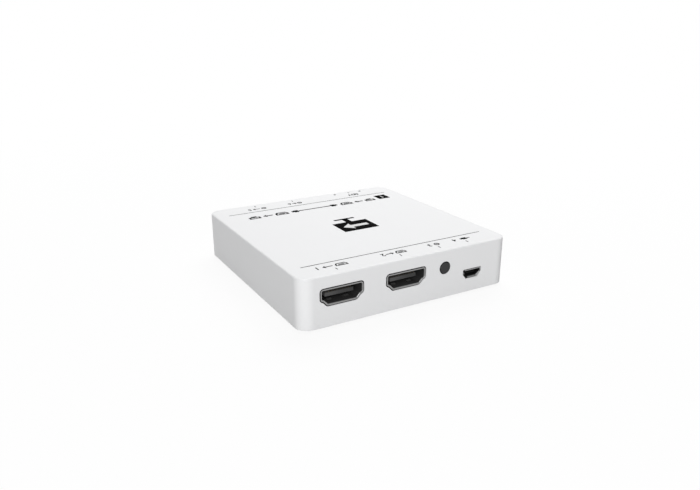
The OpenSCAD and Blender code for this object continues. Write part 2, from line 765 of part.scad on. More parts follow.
module switch_dome() color("#d9dadc") translate([0, switch_body + chamber_l, 0]) rotate([90, 0, 0]) {
    // Shallow cap cut from a hollow ball
    ball_r = (pow(dome_d / 2, 2) + pow(dome_h, 2)) / (2 * dome_h);
    difference() {
        translate([0, 0, dome_h - ball_r]) sphere(ball_r, $fn = 96);
        translate([0, 0, dome_h - ball_r]) sphere(ball_r - dome_t, $fn = 96);
        translate([0, 0, -2 * ball_r]) cylinder(r = 2 * ball_r, h = 2 * ball_r);
    }
}

module switch_terminals() color("#d0d1d3") for (s = [-1, 1]) translate([s * terminal_x, 0, 0]) {
    back = switch_body + switch_depth + terminal_t / 2;
    foot_z = terminal_t / 2 - button_lift;
    across(terminal_w) polygon(strip([[back - terminal_t * 2, -terminal_z], [back, -terminal_z], [back, foot_z],
        [back + tail_l, foot_z]], terminal_t));
}

module switch_housing() color("#1e1e20") difference() {
    union() {
        block([-switch_size / 2, switch_body, -switch_size / 2],
            [switch_size / 2, switch_body + switch_depth, switch_size / 2]);
        block([-switch_size / 2 + cover_t, switch_body + cover_t, -button_lift],
            [switch_size / 2 - cover_t, switch_body + switch_depth, -switch_size / 2 + cover_t]);
    }
    bar(chamber_d, switch_body - overrun, switch_body + chamber_l);
    switch_terminals();
}

module switch_legs(grow, out) for (s = [-1, 1]) translate([s * (switch_size + cover_t) / 2, 0, 0]) block(
    [-cover_t / 2 - grow, switch_body + switch_leg_w - grow, -button_lift - board_t - out],
    [cover_t / 2 + grow, switch_body + 2 * switch_leg_w + grow, -switch_size / 4]);

module switch_cover() color("#c4c5c8") difference() {
    union() {
        block([-switch_size / 2 - cover_t, switch_front, -switch_size / 2],
            [switch_size / 2 + cover_t, switch_body, switch_size / 2]);
        for (s = [-1, 1]) translate([s * (switch_size + cover_t) / 2, 0, 0]) block(
            [-cover_t / 2, switch_front, -switch_size / 2], [cover_t / 2, switch_body + switch_depth, switch_size / 4]);
        switch_legs(0, leg_out);
    }
    bar(plunger_d + 2 * guide_gap, switch_front - overrun, switch_body + overrun);
}

// Stepped opening for a plug with its latch on top
module network_opening(grow, depth, start) {
    inward(depth, start) {
        translate([-network_open_w / 2 - grow, network_floor - grow])
            square([network_open_w + 2 * grow, network_open_h + 2 * grow]);
        translate([-latch_w / 2 - grow, network_floor])
            square([latch_w + 2 * grow, network_open_h + latch_h + grow]);
        translate([-latch_tip_w / 2 - grow, network_floor])
            square([latch_tip_w + 2 * grow, network_open_h + latch_h + latch_tip_h + grow]);
    }
}

// Light pipe: along the jack, then down to its lamp on the board
module light_pipe(s) translate([s * lamp_x, 0, 0]) across(lamp_w) polygon(strip([[lamp_recess, lamp_z],
    [network_l + lamp_h, lamp_z], [network_l + lamp_h, network_drop + lamp_chip_t]], lamp_h));

module network_jack_contacts() color("#cfae62") for (i = [0 : wire_count - 1]) {
    foot_y = network_l + lamp_h * 2;
    foot_z = network_drop + wire_t / 2;
    translate([(i - (wire_count - 1) / 2) * wire_pitch, 0, 0]) across(wire_w)
        polygon(strip(eased([[foot_y, foot_z], [network_l + lamp_h / 2, foot_z], [network_l + lamp_h / 2, wire_exit],
        [wire_back, wire_exit], [wire_back, wire_low], [wire_front, wire_low],
        [wire_front, wire_low + 3 * wire_t], [wire_free, wire_low + wire_rise]], wire_t), wire_t));
}

module network_jack_housing() color("#202022") difference() {
    block([-network_w / 2 + network_sheet, network_sheet, 0],
        [network_w / 2 - network_sheet, network_l - network_sheet, network_h - network_sheet]);
    network_opening(0, network_open_depth + network_sheet + overrun, -overrun);
    for (i = [0 : wire_count - 1]) translate([(i - (wire_count - 1) / 2) * wire_pitch, 0, 0]) block(
        [-wire_w / 2 - comb_gap, wire_front - wire_t - comb_gap, wire_low - wire_t / 2 - comb_gap],
        [wire_w / 2 + comb_gap, wire_free, network_floor + overrun]);
    network_jack_contacts();
    for (s = [-1, 1]) translate([s * lamp_x, 0, lamp_z]) block([-lamp_w / 2, 0, -lamp_h / 2],
        [lamp_w / 2, network_l + overrun, lamp_h / 2]);
}

module network_jack_shield() color("#b4b6b9") difference() {
    union() {
        block([-network_w / 2, 0, 0], [network_w / 2, network_l, network_h]);
        for (s = [-1, 1], y = wing_places) translate([0, y + wing_w / 2, 0]) rotate([90, 0, 0])
            linear_extrude(wing_w) polygon(strip([
                [s * (network_w - network_sheet) / 2, network_drop + wing_out],
                [s * (network_w - network_sheet) / 2, network_drop + network_sheet / 2],
                [s * (network_w / 2 + wing_out), network_drop + network_sheet / 2],
                [s * (network_w / 2 + wing_out), network_drop - board_t - leg_out]], network_sheet));
    }
    block([-network_w / 2 + network_sheet, network_sheet, -overrun],
        [network_w / 2 - network_sheet, network_l + overrun, network_h - network_sheet]);
    network_opening(comb_gap, network_sheet + 2 * overrun, -overrun);
    for (s = [-1, 1]) translate([s * lamp_x, 0, lamp_z]) block(
        [-lamp_w / 2 - comb_gap, -overrun, -lamp_h / 2 - comb_gap],
        [lamp_w / 2 + comb_gap, network_sheet + overrun, lamp_h / 2 + comb_gap]);
}

module link_lamp() color("#7fbf6a") light_pipe(1);
module activity_lamp() color("#e2b13c") light_pipe(-1);
module lamp_chips() color("#f3efe0") for (s = [-1, 1]) translate([s * lamp_x, network_l + lamp_h, network_drop])
    block([-lamp_w / 4, -lamp_chip_l / 2, 0], [lamp_w / 4, lamp_chip_l / 2, lamp_chip_t]);

// Infrared jack, its axis above the board by half its body
module ir_sleeve() color("#b9babd") translate([0, 0, ir_axis]) difference() {
    bar(ir_sleeve_d, 0, ir_sleeve_l);
    bar(ir_bore_d, -overrun, ir_sleeve_l + overrun);
}

// Leaf spring on one side: leans in from the wall and comes back out to its pin
module ir_spring(s) {
    edge = ir_body_w / 2 - spring_t;
    translate([0, 0, ir_axis - spring_h / 2]) linear_extrude(spring_h) polygon(strip([
        [s * edge, spring_first], [s * (edge - spring_sag), spring_first + spring_run / 2],
        [s * edge, spring_first + spring_run], [s * edge, spring_first + spring_run + pin_w]], spring_t));
}
module ir_pins(grow, out) for (s = [-1, 1]) translate([s * (ir_body_w / 2 - spring_t), spring_first + spring_run, 0])
    block([-spring_t / 2 - grow, -grow, -board_t - out], [spring_t / 2 + grow, pin_w + grow, ir_axis]);

module ir_springs() color("#cfcfd2") for (s = [-1, 1]) {
    ir_spring(s);
    ir_pins(0, leg_out);
}

module ir_body() color("#222224") difference() {
    block([-ir_body_w / 2, wall_t + seam_gap, 0], [ir_body_w / 2, wall_t + ir_body_l, ir_body_h]);
    translate([0, 0, ir_axis]) {
        bar(ir_sleeve_d, 0, ir_sleeve_l);
        bar(ir_chamber_d, 0, wall_t + ir_body_l - ir_wall);
    }
    // Side windows for the springs, and grooves for their pins
    for (s = [-1, 1]) block(
        [s > 0 ? 0 : -ir_body_w / 2 - overrun, spring_first - spring_slot, ir_axis - spring_h / 2 - spring_slot],
        [s > 0 ? ir_body_w / 2 + overrun : 0, spring_first + spring_run + pin_w + spring_slot,
        ir_axis + spring_h / 2 + spring_slot]);
    for (s = [-1, 1]) translate([s * ir_body_w / 2, spring_first + spring_run, 0])
        block([-2 * spring_t, -spring_slot, -overrun], [2 * spring_t, pin_w + spring_slot, ir_axis]);
}

// Leadless package with a row of pads under each edge and a dimple at its first pad
module leadless_chip(w, h) {
    difference() {
        translate([0, 0, pad_t]) linear_extrude(h - pad_t) square(w, center = true);
        translate([-w / 2 + pad_edge, w / 2 - pad_edge, h - dimple_h]) cylinder(d = dimple_d, h = h);
    }
    per_side = floor((w - 2 * pad_edge) / pad_pitch);
    for (turn = [0 : 90 : 270], i = [0 : per_side]) rotate(turn)
        translate([(i - per_side / 2) * pad_pitch, w / 2 - pad_l, 0]) block([-pad_w / 2, 0, 0], [pad_w / 2, pad_l, pad_t]);
}

// Bent lead on the +Y side of a body whose half depth is half
module bent_lead(half, h) across(lead_w) polygon(strip([[half - lead_t, h / 2], [half + lead_out / 2, h / 2],
    [half + lead_out / 2, lead_t / 2], [half + lead_out / 2 + lead_foot, lead_t / 2]], lead_t));

// Package with bent leads on two or on four sides
module leaded_chip(w, d, h, count, pitch, sides) {
    difference() {
        translate([-w / 2, -d / 2, chip_stand]) cube([w, d, h - chip_stand]);
        translate([-w / 2 + pad_edge, d / 2 - pad_edge, h - dimple_h]) cylinder(d = dimple_d, h = h);
        for (turn = sides, i = [0 : count - 1]) rotate(turn) translate([(i - (count - 1) / 2) * pitch, 0, 0])
            bent_lead((turn % 180 == 0 ? d : w) / 2, h);
    }
    for (turn = sides, i = [0 : count - 1]) rotate(turn) translate([(i - (count - 1) / 2) * pitch, 0, 0])
        bent_lead((turn % 180 == 0 ? d : w) / 2, h);
}

// Chip part: body with a cap round each end
module chip_part(l, w, h) {
    block([-l / 2, -w / 2 + end_cap_t, end_cap_t], [l / 2, w / 2 - end_cap_t, h - end_cap_t]);
    for (s = [-1, 1]) translate([s * (l - end_cap_l) / 2, 0, 0])
        block([-end_cap_l / 2, -w / 2, 0], [end_cap_l / 2, w / 2, h]);
}

module extender_chip() color("#26262a") on_board(extender_x, extender_y) leadless_chip(extender_w, chip_t);

module thermal_pad() color("#8fa3b8") on_board(extender_x, extender_y) translate([0, 0, chip_t])
    linear_extrude(pad_sheet_t) square(extender_w - pad_edge, center = true);

module heatsink() color("#2f3033") on_board(extender_x, extender_y)
    translate([-extender_w / 2, -extender_w / 2, chip_t + pad_sheet_t]) {
        cube([extender_w, extender_w, sink_base_t]);
        for (i = [0 : fin_count - 1]) translate([i * (extender_w - fin_t) / (fin_count - 1), 0, 0])
            cube([fin_t, extender_w, sink_base_t + fin_h]);
    }

module splitter_chip() color("#26262a") on_board(splitter_x, splitter_y) leadless_chip(splitter_w, chip_t);

module control_chip() color("#26262a") on_board(ir_out_at, control_y)
    leaded_chip(control_w, control_w, chip_t + chip_stand, control_leads, pad_pitch, [0, 90, 180, 270]);

module memory_chip() color("#26262a") on_board(ir_out_at, memory_y)
    leaded_chip(small_w, small_d, small_h, small_leads, lead_pitch, [0, 180]);

module regulator_chip() color("#26262a") on_board(regulator_x, regulator_y)
    leaded_chip(small_w, small_d, small_h, small_leads, lead_pitch, [0, 180]);

module network_transformer() color("#2b2b2e") on_board(network_at, transformer_y)
    leaded_chip(transformer_w, transformer_d, transformer_h, transformer_leads, lead_pitch, [0, 180]);

module clock_crystal() color("#cfd0d2") on_board(crystal_x, crystal_y)
    rounded_plate(crystal_w, crystal_l, crystal_h, crystal_r);

module power_inductor() color("#47484b") on_board(inductor_x, regulator_y)
    rounded_plate(inductor_w, inductor_w, inductor_h, inductor_r);

module power_capacitor() color("#c3c5c8") on_board(capacitor_x, capacitor_y) {
    cylinder(d = capacitor_d, h = capacitor_h);
    linear_extrude(chip_t) square(capacitor_d, center = true);
}

module input_fuse() color("#3f7f58") on_board(power_at, fuse_y) chip_part(fuse_l, fuse_w, fuse_h);

module protection_chips() color("#26262a") for (x = [guard_side - screw_x, video_in_x], i = [-1 : 1])
    on_board(x + i * guard_pitch, guard_y)
    block([-guard_w / 2, -guard_d / 2, 0], [guard_w / 2, guard_d / 2, guard_h]);

module chip_capacitors() color("#a88c66") {
    for (i = [-2 : 2]) on_board(splitter_x + i * row_pitch, splitter_y + splitter_w / 2 + row_pitch)
        chip_part(cap_chip_l, cap_chip_w, cap_chip_h);
    for (i = [-2 : 2]) on_board(extender_x + i * row_pitch, extender_y - extender_w / 2 - row_pitch)
        chip_part(cap_chip_l, cap_chip_w, cap_chip_h);
}

module chip_resistors() color("#2c2c30") {
    for (i = [-2 : 2]) on_board(ir_out_at + i * row_pitch, control_y + control_w)
        chip_part(res_chip_l, res_chip_w, res_chip_h);
    for (i = [-1 : 1]) on_board(button_at + i * row_pitch, front_y + switch_body + switch_depth + tail_l + row_pitch)
        chip_part(res_chip_l, res_chip_w, res_chip_h);
}

top_housing();
base_plate();
case_screws();
foot(-1, -1);  // foot_front_left
foot(1, -1);  // foot_front_right
foot(-1, 1);  // foot_rear_left
foot(1, 1);  // foot_rear_right
circuit_board();
board_screws();
at_port(video_out_at, board_top + video_lift) video_shell();  // video_out_shell
at_port(video_out_at, board_top + video_lift) video_insulator();  // video_out_insulator
at_port(video_out_at, board_top + video_lift) video_contacts();  // video_out_contacts
at_port(video_in_x, board_top + video_lift) video_shell();  // video_in_shell
at_port(video_in_x, board_top + video_lift) video_insulator();  // video_in_insulator
at_port(video_in_x, board_top + video_lift) video_contacts();  // video_in_contacts
at_port(power_at, board_top + power_sheet) power_shell();
at_port(power_at, board_top + power_sheet) power_insulator();
at_port(power_at, board_top + power_sheet) power_contacts();
at_port(button_at, board_top + button_lift) button_cap();
at_port(button_at, board_top + button_lift) switch_plunger();
at_port(button_at, board_top + button_lift) switch_housing();
at_port(button_at, board_top + button_lift) switch_cover();
at_port(button_at, board_top + button_lift) switch_dome();
at_port(button_at, board_top + button_lift) switch_terminals();
at_rear(network_at, network_z) network_jack_housing();
at_rear(network_at, network_z) network_jack_shield();
at_rear(network_at, network_z) network_jack_contacts();
at_rear(network_at, network_z) link_lamp();
at_rear(network_at, network_z) activity_lamp();
at_rear(network_at, network_z) lamp_chips();
at_rear(ir_out_at, board_top) ir_body();  // ir_out_body
at_rear(ir_out_at, board_top) ir_sleeve();  // ir_out_sleeve
at_rear(ir_out_at, board_top) ir_springs();  // ir_out_springs
at_rear(ir_in_x, board_top) ir_body();  // ir_in_body
at_rear(ir_in_x, board_top) ir_sleeve();  // ir_in_sleeve
at_rear(ir_in_x, board_top) ir_springs();  // ir_in_springs
extender_chip();
thermal_pad();
heatsink();
splitter_chip();
control_chip();
memory_chip();
clock_crystal();
network_transformer();
power_inductor();
regulator_chip();
power_capacitor();
input_fuse();
protection_chips();
chip_capacitors();
chip_resistors();
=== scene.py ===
import json
import math

import bpy
import numpy as np
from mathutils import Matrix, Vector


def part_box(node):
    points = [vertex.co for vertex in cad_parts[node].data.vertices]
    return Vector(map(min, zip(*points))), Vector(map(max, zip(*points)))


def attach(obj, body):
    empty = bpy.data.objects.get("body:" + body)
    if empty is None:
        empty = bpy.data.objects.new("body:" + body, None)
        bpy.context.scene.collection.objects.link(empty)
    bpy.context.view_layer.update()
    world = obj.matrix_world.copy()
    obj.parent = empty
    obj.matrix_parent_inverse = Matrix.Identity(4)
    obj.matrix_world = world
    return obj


mm = 0.001  # metres in a millimetre
edgeSamples = 6  # rays that the rounding of an edge takes

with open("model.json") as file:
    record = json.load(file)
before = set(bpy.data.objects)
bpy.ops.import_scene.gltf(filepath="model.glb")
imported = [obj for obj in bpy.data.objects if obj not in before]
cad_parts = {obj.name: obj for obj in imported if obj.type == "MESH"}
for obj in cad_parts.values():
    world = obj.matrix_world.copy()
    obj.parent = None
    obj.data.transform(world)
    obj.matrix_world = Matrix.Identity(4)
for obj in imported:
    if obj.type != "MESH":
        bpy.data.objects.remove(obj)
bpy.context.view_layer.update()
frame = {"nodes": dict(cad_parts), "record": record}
nodes = frame["nodes"]
topLow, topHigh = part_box("top_housing")
frontEdge, rearEdge = topLow.y / mm, topHigh.y / mm
print("frame loaded:", len(nodes), "nodes")


class Value:
    # wraps a shader socket, so that arithmetic on it adds Math nodes

    def __init__(self, tree, socket):
        self.tree = tree
        self.socket = socket

    def math(self, operation, *operands):
        node = self.tree.nodes.new("ShaderNodeMath")
        node.operation = operation
        for place, operand in enumerate(operands):
            plug(self.tree, node.inputs[place], operand)
        return Value(self.tree, node.outputs[0])

    def __add__(self, other):
        return self.math("ADD", self, other)

    def __sub__(self, other):
        return self.math("SUBTRACT", self, other)

    def __rsub__(self, other):
        return self.math("SUBTRACT", other, self)

    def __mul__(self, other):
        return self.math("MULTIPLY", self, other)

    def __truediv__(self, other):
        return self.math("DIVIDE", self, other)

    __radd__ = __add__
    __rmul__ = __mul__

    def above(self, edge):
        return self.math("GREATER_THAN", self, edge)

    def below(self, edge):
        return self.math("LESS_THAN", self, edge)

    def capped(self):
        return self.math("MINIMUM", self, 1.0)

    def floored(self):
        return self.math("MAXIMUM", self, 0.0)

    def size(self):
        # distance from zero
        return self.math("ABSOLUTE", self)


def plug(tree, socket, thing):
    # a Value is linked, anything else is set on the socket itself
    if isinstance(thing, Value):
        tree.links.new(thing.socket, socket)
    else:
        socket.default_value = thing


def scaled(colour, share):
    return tuple(level * share for level in colour[:3]) + (1,)


def grey(level):
    return (level, level, level, 1)


surfaceSockets = {
    "colour": "Base Color",
    "rough": "Roughness",
    "metal": "Metallic",
    "normal": "Normal",
    "coat": "Coat Weight",
    "coatRough": "Coat Roughness",
    "specular": "Specular IOR Level",
}


class Finish:
    # one material: its shader nodes are added by type

    def __init__(self, name):
        self.material = bpy.data.materials.new(name)
        self.material.use_nodes = True
        self.tree = self.material.node_tree
        self.tree.nodes.clear()

    def add(self, kind, settings=None, sockets=None, out=0):
        node = self.tree.nodes.new(kind)
        for key, value in (settings or {}).items():
            setattr(node, key, value)
        for key, value in (sockets or {}).items():
            plug(self.tree, node.inputs[key], value)
        return Value(self.tree, node.outputs[out])

    def place(self, stretch=(1, 1, 1)):
        # position on the piece, in the object's own metres
        coordinate = self.add("ShaderNodeTexCoord", out="Object")
        return self.add("ShaderNodeMapping", {}, {"Vector": coordinate, "Scale": stretch})

    def noise(self, scale, detail=2.0, stretch=(1, 1, 1)):
        # scale is in waves to the metre
        sockets = {"Vector": self.place(stretch), "Scale": scale, "Detail": detail}
        return self.add("ShaderNodeTexNoise", {}, sockets)

    def axes(self):
        # the three coordinates on the piece, each as a value
        node = self.tree.nodes.new("ShaderNodeSeparateXYZ")
        plug(self.tree, node.inputs[0], self.place())
        return [Value(self.tree, output) for output in node.outputs]

    def depth(self, start, fade):
        # 0 up to start millimetres behind the casing's front face, 1 from start + fade on
        share = (self.axes()[1] - (frontEdge + start) * mm) / (fade * mm)
        return share.floored().capped()

    def spread(self, value, low, high):
        return self.add("ShaderNodeMapRange", {}, {"Value": value, "To Min": low, "To Max": high})

    def blend(self, factor, first, second):
        sockets = {"Factor": factor, 6: first, 7: second}  # 6 and 7 are the node's two colours
        return self.add("ShaderNodeMix", {"data_type": "RGBA"}, sockets, out=2)

    def relief(self, height, strength, depth, edge=None):
        # bump of a depth in millimetres, on normals that round edges off by a small radius
        sockets = {"Height": height, "Strength": strength, "Distance": depth * mm}
        if edge:
            sockets["Normal"] = self.add("ShaderNodeBevel", {"samples": edgeSamples}, {"Radius": edge * mm})
        return self.add("ShaderNodeBump", {}, sockets)

    def surface(self, shader):
        output = self.tree.nodes.new("ShaderNodeOutputMaterial")
        self.tree.links.new(shader.socket, output.inputs["Surface"])
        return self.material

    def finish(self, **values):
        sockets = {surfaceSockets[key]: value for key, value in values.items()}
        return self.surface(self.add("ShaderNodeBsdfPrincipled", {}, sockets))


plastic = {
    "cloud": 90.0,          # faint cloudiness in the colour
    "cloudDetail": 3.0,
    "cloudDim": 0.985,
    "patch": 700.0,         # patches of more and less gloss
    "roughLess": 0.04,
    "roughMore": 0.05,
    "grain": 9000.0,        # spark-eroded grain of two sizes
    "pebble": 2600.0,
    "grainShare": 0.6,
    "grainDepth": 0.02,
    "edge": 0.12,
}


def cloudy(f, colour):
    cloud = f.noise(plastic["cloud"], plastic["cloudDetail"])
    return f.blend(cloud, scaled(colour, plastic["cloudDim"]), colour)


def plasticSkin(f, tone, rough, grain, edge, specular):
    share = plastic["grainShare"]
    height = f.noise(plastic["grain"]) * share + f.noise(plastic["pebble"]) * (1 - share)
    gloss = f.spread(f.noise(plastic["patch"]), rough - plastic["roughLess"], rough + plastic["roughMore"])
    normal = f.relief(height, grain, plastic["grainDepth"], edge)
    return f.finish(colour=tone, rough=gloss, normal=normal, specular=specular)


def mouldedPlastic(name, colour, rough, grain, edge=plastic["edge"], specular=0.5):
    f = Finish(name)
    return plasticSkin(f, cloudy(f, colour), rough, grain, edge, specular)


# painted shade: the casing's colour turns dark grey inside the port wall, where shade falls
paintedPortShade = {
    "halfWidth": 35.0,      # millimetres to either side of the middle
    "bottom": 4.0,
    "top": 14.5,
    "start": 0.12,          # behind the front face
    "fade": 0.3,            # from its start to full shade
    "back": 3.0,
    "litFrom": 26.6,        # right of here, at the power socket, some light gets in and takes this share of the painted shade away
    "lit": 0.6,             # and takes this share of the shade away
    "level": 0.04,
}


def housingPlastic(name, colour, rough, grain, specular):
    # moulded plastic with painted shade in its colour within the thickness of the port wall,
    # which only the gaps round the ports and the button let one see
    f = Finish(name)
    x, y, z = f.axes()
    across = x.size().below(paintedPortShade["halfWidth"] * mm)
    upright = z.below(paintedPortShade["top"] * mm) * z.above(paintedPortShade["bottom"] * mm)
    inwards = y.below((frontEdge + paintedPortShade["back"]) * mm) * f.depth(paintedPortShade["start"], paintedPortShade["fade"])
    unlit = 1 - x.above(paintedPortShade["litFrom"] * mm) * paintedPortShade["lit"]
    tone = f.blend(across * upright * inwards * unlit, cloudy(f, colour), grey(paintedPortShade["level"]))
    return plasticSkin(f, tone, rough, grain, plastic["edge"], specular)


metal = {
    "streak": 1400.0,       # fine streaks along one axis
    "streakDetail": 3.0,
    "alongX": (1, 12, 12),
    "alongY": (12, 1, 12),
    "dim": 0.82,
    "roughLess": 0.06,
    "roughMore": 0.08,
    "bump": 0.12,
    "depth": 0.01,
    "edge": 0.06,
}


def brushedMetal(name, colour, rough, along="alongX", edge=metal["edge"]):
    # streaks in colour, roughness and bump
    f = Finish(name)
    streak = f.noise(metal["streak"], metal["streakDetail"], metal[along])
    tone = f.blend(streak, scaled(colour, metal["dim"]), colour)
    gloss = f.spread(streak, rough - metal["roughLess"], rough + metal["roughMore"])
    normal = f.relief(streak, metal["bump"], metal["depth"], edge)
    return f.finish(colour=tone, rough=gloss, metal=1.0, normal=normal)


sheet = {
    "rimStart": 0.15,       # the painted highlight of the bright rim ends this far behind the front face
    "rimFade": 0.35,
    "streakShare": 0.2,
    "streakLevel": 0.02,
    "roughSpread": 0.1,
    "bump": 0.1,
    "edge": 0.05,
}


def socketSheet(name, rim, inside):
    # painted highlight and painted shade: the sheet is bright grey at the port side and dark further in,
    # where shade falls, each given as its grey and its roughness
    f = Finish(name)
    (rimLevel, rimRough), (insideLevel, insideRough) = rim, inside
    streak = f.noise(metal["streak"], metal["streakDetail"], metal["alongX"])
    deep = f.depth(sheet["rimStart"], sheet["rimFade"])
    tone = f.blend(deep, grey(rimLevel), grey(insideLevel))
    tone = f.blend(streak * sheet["streakShare"], tone, grey(sheet["streakLevel"]))
    rough = streak * sheet["roughSpread"] + deep * (insideRough - rimRough) + rimRough
    normal = f.relief(streak, sheet["bump"], metal["depth"], sheet["edge"])
    return f.finish(colour=tone, rough=rough, metal=1.0, normal=normal)


# painted shade on the socket insulator: a grey that darkens along the tongue, and the back wall's own grey
tongue = {
    "left": 0.082,          # grey of the tongue at its left end
    "right": 0.014,         # and from where the fade ends
    "fadeEnd": 0.625,       # share of the piece's width
    "wall": 0.16,           # grey of the back wall
    "wallStart": 1.5,       # behind the front face
    "wallFade": 3.0,
    "rough": (0.4, 0.5),
    "bump": 0.1,
    "edge": 0.05,
    "specular": 0.25,
}


def socketInsulator(name, node):
    # painted shade: the tongue darkens from left to right, away from the light, and it is darker than the
    # back wall, which hardly any light reaches but which is given a lighter grey
    f = Finish(name)
    low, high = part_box(node)
    along = (f.axes()[0] - low.x) / ((high.x - low.x) * tongue["fadeEnd"])
    front = f.blend(along.capped(), grey(tongue["left"]), grey(tongue["right"]))
    tone = f.blend(f.depth(tongue["wallStart"], tongue["wallFade"]), front, grey(tongue["wall"]))
    gloss = f.spread(f.noise(plastic["patch"]), *tongue["rough"])
    normal = f.relief(f.noise(plastic["grain"]), tongue["bump"], plastic["grainDepth"], tongue["edge"])
    return f.finish(colour=tone, rough=gloss, specular=tongue["specular"], normal=normal)


speckDepth = 0.02
rubber = {"scale": 3500.0, "detail": 2.0, "low": 0.8, "high": 1.0, "rough": (0.68, 0.82), "bump": 0.3}
resin = {"scale": 5200.0, "detail": 3.0, "low": 0.7, "high": 1.0, "rough": (0.5, 0.65), "bump": 0.25}
clear = {"scale": 600.0, "detail": 2.0, "low": 0.85, "high": 1.0, "rough": (0.12, 0.22),
         "coat": 0.6, "coatRough": 0.08}
# ink covers a little unevenly and is matt, so that it stays dark at a low angle
ink = {"scale": 4200.0, "detail": 2.0, "low": 0.85, "high": 1.12, "rough": (0.6, 0.75), "specular": 0.0}


def speckled(name, kind, colour):
    # specks in colour and roughness, and in the bump where the kind has one
    f = Finish(name)
    speck = f.noise(kind["scale"], kind["detail"])
    tone = f.blend(speck, scaled(colour, kind["low"]), scaled(colour, kind["high"]))
    more = {key: kind[key] for key in ("coat", "coatRough", "specular") if key in kind}
    if "bump" in kind:
        more["normal"] = f.relief(speck, kind["bump"], speckDepth)
    return f.finish(colour=tone, rough=f.spread(speck, *kind["rough"]), **more)


board = {
    "mask": (0.006, 0.075, 0.03, 1),
    "track": (0.014, 0.15, 0.06, 1),
    "copper": (0.55, 0.42, 0.2, 1),
    "trackScale": 420.0,
    "trackRandom": 0.35,
    "trackEdge": 0.16,
    "dotScale": 260.0,
    "dotRandom": 0.6,
    "dotEdge": 0.12,
    "rough": 0.35,
    "metal": 0.9,
    "bump": 0.25,
    "rise": 0.03,
    "coat": 0.3,
    "coatRough": 0.15,
}


def boardFinish(name):
    # green mask over copper tracks: the tracks stand up a little and show lighter
    f = Finish(name)
    flat = f.place((1, 1, 0))
    cells = f.add("ShaderNodeTexVoronoi", {"feature": "DISTANCE_TO_EDGE"},
                  {"Vector": flat, "Scale": board["trackScale"], "Randomness": board["trackRandom"]})
    dots = f.add("ShaderNodeTexVoronoi", {"feature": "F1"},
                 {"Vector": flat, "Scale": board["dotScale"], "Randomness": board["dotRandom"]})
    track = 1 - cells.above(board["trackEdge"])
    ring = 1 - dots.above(board["dotEdge"])
    tone = f.blend(ring, f.blend(track, board["mask"], board["track"]), board["copper"])
    return f.finish(colour=tone, rough=board["rough"], metal=ring * board["metal"],
                    normal=f.relief(track + ring, board["bump"], board["rise"]),
                    coat=board["coat"], coatRough=board["coatRough"])


# one finish for each slot: plastics have a colour, roughness and depth of grain,
# brushed metals a colour, roughness and way of the streaks
finishes = {
    "casing_white": housingPlastic("casingWhitePaintedShade", (0.83, 0.833, 0.84, 1), 0.5, 0.05, specular=0.2),
    "base_white": mouldedPlastic("baseWhite", (0.8, 0.802, 0.808, 1), 0.48, 0.09),
    "foot_rubber": speckled("footRubber", rubber, (0.035, 0.035, 0.036, 1)),
    "screw_steel": brushedMetal("screwSteel", (0.5, 0.5, 0.51, 1), 0.34),
    "board_green": boardFinish("boardGreen"),
    # the shell steel has a painted highlight at its rim and painted shade further in
    "shell_steel": socketSheet("shellSteelPaintedShade", rim=(0.34, 0.34), inside=(0.075, 0.62)),
    "insulator_black": mouldedPlastic("insulatorBlack", (0.018, 0.018, 0.019, 1), 0.5, 0.1, edge=0.05),
    "contact_gold": brushedMetal("contactGold", (0.36, 0.29, 0.17, 1), 0.42, "alongY", edge=0.03),
    "button_dark": mouldedPlastic("buttonDark", (0.022, 0.022, 0.023, 1), 0.55, 0.1, edge=0.08, specular=0.3),
    "switch_black": mouldedPlastic("switchBlack", (0.02, 0.02, 0.021, 1), 0.5, 0.1, edge=0.06),
    "switch_steel": brushedMetal("switchSteel", (0.55, 0.55, 0.56, 1), 0.3),
    "shield_steel": brushedMetal("shieldSteel", (0.34, 0.343, 0.347, 1), 0.38, "alongY"),
    "lamp_green": speckled("lampGreen", clear, (0.12, 0.35, 0.1, 1)),
    "lamp_yellow": speckled("lampYellow", clear, (0.6, 0.36, 0.03, 1)),
    "lamp_chip": speckled("lampChip", resin, (0.8, 0.76, 0.6, 1)),
    "chip_black": speckled("chipBlack", resin, (0.025, 0.025, 0.027, 1)),
    "pad_grey": speckled("padGrey", rubber, (0.28, 0.36, 0.43, 1)),
    "sink_black": brushedMetal("sinkBlack", (0.05, 0.05, 0.052, 1), 0.4, "alongY"),
    "can_steel": brushedMetal("canSteel", (0.6, 0.6, 0.61, 1), 0.25),
    "ferrite_grey": speckled("ferriteGrey", resin, (0.08, 0.08, 0.085, 1)),
    "capacitor_can": brushedMetal("capacitorCan", (0.62, 0.62, 0.63, 1), 0.28),
    "fuse_green": speckled("fuseGreen", resin, (0.05, 0.2, 0.1, 1)),
    "chip_tan": speckled("chipTan", resin, (0.4, 0.27, 0.15, 1)),
    "chip_dark": speckled("chipDark", resin, (0.03, 0.03, 0.035, 1)),
}
inks = {
    "black": speckled("inkBlack", ink, grey(0.01)),
    "grey": speckled("inkGrey", ink, grey(0.03)),
    "white": speckled("inkWhite", ink, grey(0.8)),
}

# pieces whose finish differs from the rest of their slot
ownFinishes = {
    # the power shell has a painted highlight at its rim and painted shade further in
    "power_shell": socketSheet("powerSteelPaintedShade", rim=(0.3, 0.62), inside=(0.02, 0.6)),
    # the video insulators carry painted shade along the tongue
    "video_out_insulator": socketInsulator("videoOutBlackPaintedShade", "video_out_insulator"),
    "video_in_insulator": socketInsulator("videoInBlackPaintedShade", "video_in_insulator"),
    "power_insulator": mouldedPlastic("powerBlack", (0.004, 0.004, 0.004, 1), 0.7, 0.1,
                                      edge=0.05, specular=0.1),
}

for part in frame["record"]["subparts"]:
    obj = nodes[part["node"]]
    obj.data.materials.clear()
    obj.data.materials.append(ownFinishes.get(part["node"], finishes[part["material_slot"]]))
print("finishes given:", len(finishes) + len(ownFinishes))

